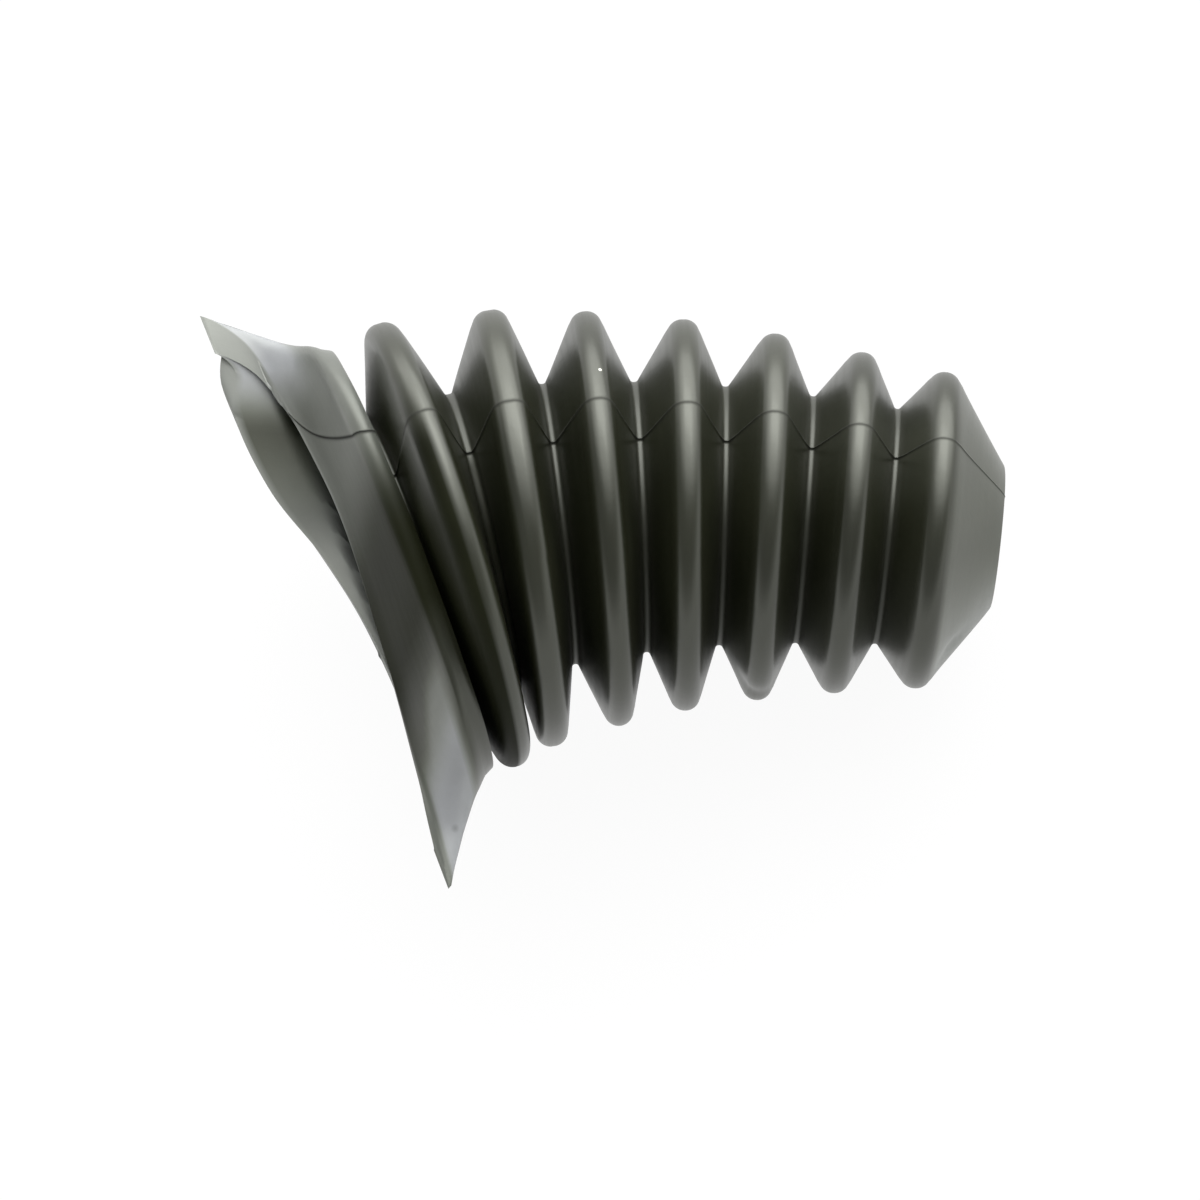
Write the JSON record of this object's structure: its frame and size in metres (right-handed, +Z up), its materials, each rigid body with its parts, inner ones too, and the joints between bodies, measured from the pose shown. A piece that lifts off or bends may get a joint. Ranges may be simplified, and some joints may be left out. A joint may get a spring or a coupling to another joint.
{
  "type": "bellows boot",
  "caption": "Tapered rubber bellows boot with a bored end and a plain skirt for a cuff, pressed flat and bent as it lies.",
  "frame": {"origin": "on the floor, under the middle of the whole boot as it lies", "axes": "+X along its length towards the small end, +Z up, the cuff at -X and its longer tip towards -Y"},
  "size_m": [0.208, 0.1518, 0.1147],
  "materials": {
    "rubber": "satin black with an olive cast"
  },
  "bodies": {
    "root": {"bellows_boot": "rubber"}
  },
  "joints": []
}
